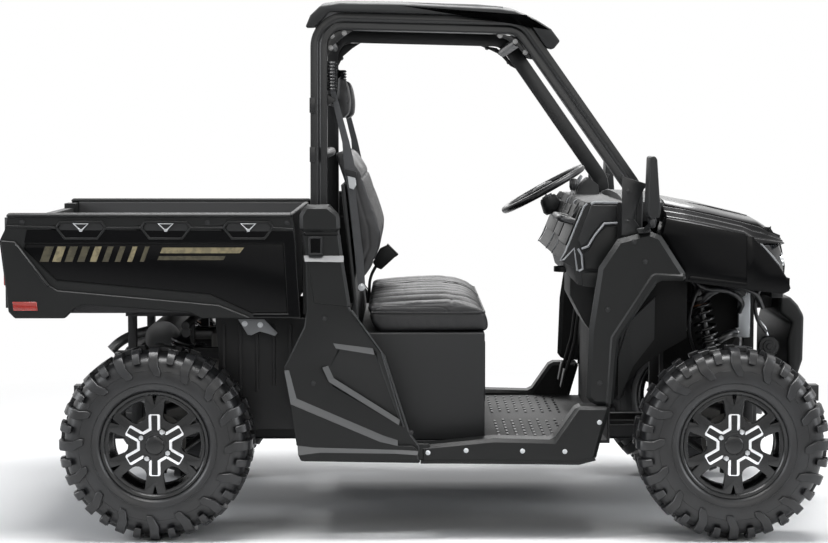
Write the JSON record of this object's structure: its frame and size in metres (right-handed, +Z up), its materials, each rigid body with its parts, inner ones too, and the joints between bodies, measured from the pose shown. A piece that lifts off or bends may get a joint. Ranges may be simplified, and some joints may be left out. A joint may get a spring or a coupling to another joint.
{
  "type": "side by side utility vehicle",
  "caption": "Open-cab side by side utility vehicle with a roll cage and roof, bench seat, tipping cargo bed with drop tailgate, opening hood, steered front wheels and rolling lugged tyres.",
  "frame": {"origin": "on the ground, at the middle of the overall length and width", "axes": "+X towards the front of the vehicle, +Y to its left, +Z up"},
  "size_m": [3.029, 1.74, 1.935],
  "materials": {
    "tyre_rubber": "matt",
    "wheel_alloy": "satin black paint with machined silver edges",
    "frame_steel": "satin black",
    "raw_steel": "dull",
    "cast_metal": "rough",
    "body_plastic": "fine moulded grain",
    "gloss_panel": "glossy black",
    "seat_vinyl": "grained vinyl",
    "webbing": "woven",
    "lamp_lens": "clear lens over reflector",
    "red_lens": "prismatic red lens",
    "mirror_shell": "fine moulded grain",
    "cooler_alloy": "bare",
    "exhaust_steel": "heat-dulled"
  },
  "bodies": {
    "chassis": {"frame": "frame_steel", "front_frame": "frame_steel", "rear_frame": "frame_steel", "skid_plate": "body_plastic", "floor_pan": "body_plastic", "engine": "cast_metal", "muffler": "exhaust_steel", "gear_housings": "cast_metal", "drive_shafts": "raw_steel", "radiator": "cooler_alloy", "front_arms": "frame_steel", "rear_suspension": "frame_steel", "shock_absorbers": "raw_steel", "side_panels": "body_plastic", "rockers": "body_plastic", "front_quarters": "body_plastic", "front_fenders": "gloss_panel", "fascia": "body_plastic", "headlamps": "lamp_lens", "front_bumper": "body_plastic", "dashboard": "body_plastic", "steering_column": "body_plastic", "seat_base": "body_plastic", "seat_cushions": "seat_vinyl", "seat_backs": "seat_vinyl", "headrests": "seat_vinyl", "seat_belts": "webbing", "rops_sides": "frame_steel", "rops_cross_bars": "frame_steel", "roof": "body_plastic", "side_mirrors": "mirror_shell", "hitch_receivers": "frame_steel", "inner_fenders": "body_plastic", "cowl": "body_plastic"},
    "cargo_bed": {"bed_tub": "body_plastic", "bed_sides": "body_plastic", "tail_lamps": "red_lens", "bed_frame": "frame_steel"},
    "tailgate": {"tailgate": "body_plastic"},
    "hood": {"hood": "gloss_panel"},
    "steering_wheel": {"steering_wheel": "body_plastic"},
    "steering_rack": {"tie_rods": "raw_steel"},
    "knuckle_right": {"knuckle_right": "cast_metal"},
    "knuckle_left": {"knuckle_left": "cast_metal"},
    "wheel_front_right": {"tyre_front_right": "tyre_rubber", "rim_front_right": "wheel_alloy"},
    "wheel_front_left": {"tyre_front_left": "tyre_rubber", "rim_front_left": "wheel_alloy"},
    "wheel_rear_right": {"tyre_rear_right": "tyre_rubber", "rim_rear_right": "wheel_alloy"},
    "wheel_rear_left": {"tyre_rear_left": "tyre_rubber", "rim_rear_left": "wheel_alloy"}
  },
  "joints": [
    {"name": "steer_right", "type": "hinge", "parent": "chassis", "child": "knuckle_right", "pos_m": [1.0725, -0.5994, 0.343], "axis": [0, 0, 1], "range_deg": [-32, 32]},
    {"name": "steer_left", "type": "hinge", "parent": "chassis", "child": "knuckle_left", "pos_m": [1.0725, 0.5994, 0.343], "axis": [0, 0, 1], "range_deg": [-32, 32]},
    {"name": "rack_slide", "type": "slide", "parent": "chassis", "child": "steering_rack", "axis": [0, 1, 0], "range_m": [-0.053, 0.053]},
    {"name": "steering_wheel_turn", "type": "hinge", "parent": "chassis", "child": "steering_wheel", "pos_m": [0.46781, 0.36, 1.21198], "axis": [-0.4848, 0, 0.8746], "range_deg": [-280, 280]},
    {"name": "wheel_front_right_spin", "type": "hinge", "parent": "knuckle_right", "child": "wheel_front_right", "pos_m": [1.0725, -0.6825, 0.343], "axis": [0, 1, 0], "continuous": true},
    {"name": "wheel_front_left_spin", "type": "hinge", "parent": "knuckle_left", "child": "wheel_front_left", "pos_m": [1.0725, 0.6825, 0.343], "axis": [0, 1, 0], "continuous": true},
    {"name": "wheel_rear_right_spin", "type": "hinge", "parent": "chassis", "child": "wheel_rear_right", "pos_m": [-0.9725, -0.657, 0.343], "axis": [0, 1, 0], "continuous": true},
    {"name": "wheel_rear_left_spin", "type": "hinge", "parent": "chassis", "child": "wheel_rear_left", "pos_m": [-0.9725, 0.657, 0.343], "axis": [0, 1, 0], "continuous": true},
    {"name": "bed_tilt", "type": "hinge", "parent": "chassis", "child": "cargo_bed", "pos_m": [-1.1075, 0, 0.775], "axis": [0, -1, 0], "range_deg": [0, 45]},
    {"name": "tailgate_drop", "type": "hinge", "parent": "cargo_bed", "child": "tailgate", "pos_m": [-1.4898, 0, 0.833], "axis": [0, -1, 0], "range_deg": [0, 90]},
    {"name": "hood_open", "type": "hinge", "parent": "chassis", "child": "hood", "pos_m": [1.23326, 0, 1.08429], "axis": [0, 1, 0], "range_deg": [0, 55]}
  ],
  "couplings": [
    {"joint": "steer_left", "follows": "steer_right", "ratio": 1},
    {"joint": "rack_slide", "follows": "steer_right", "m_per_rad": -0.0915},
    {"joint": "steering_wheel_turn", "follows": "steer_right", "ratio": 8.5}
  ]
}
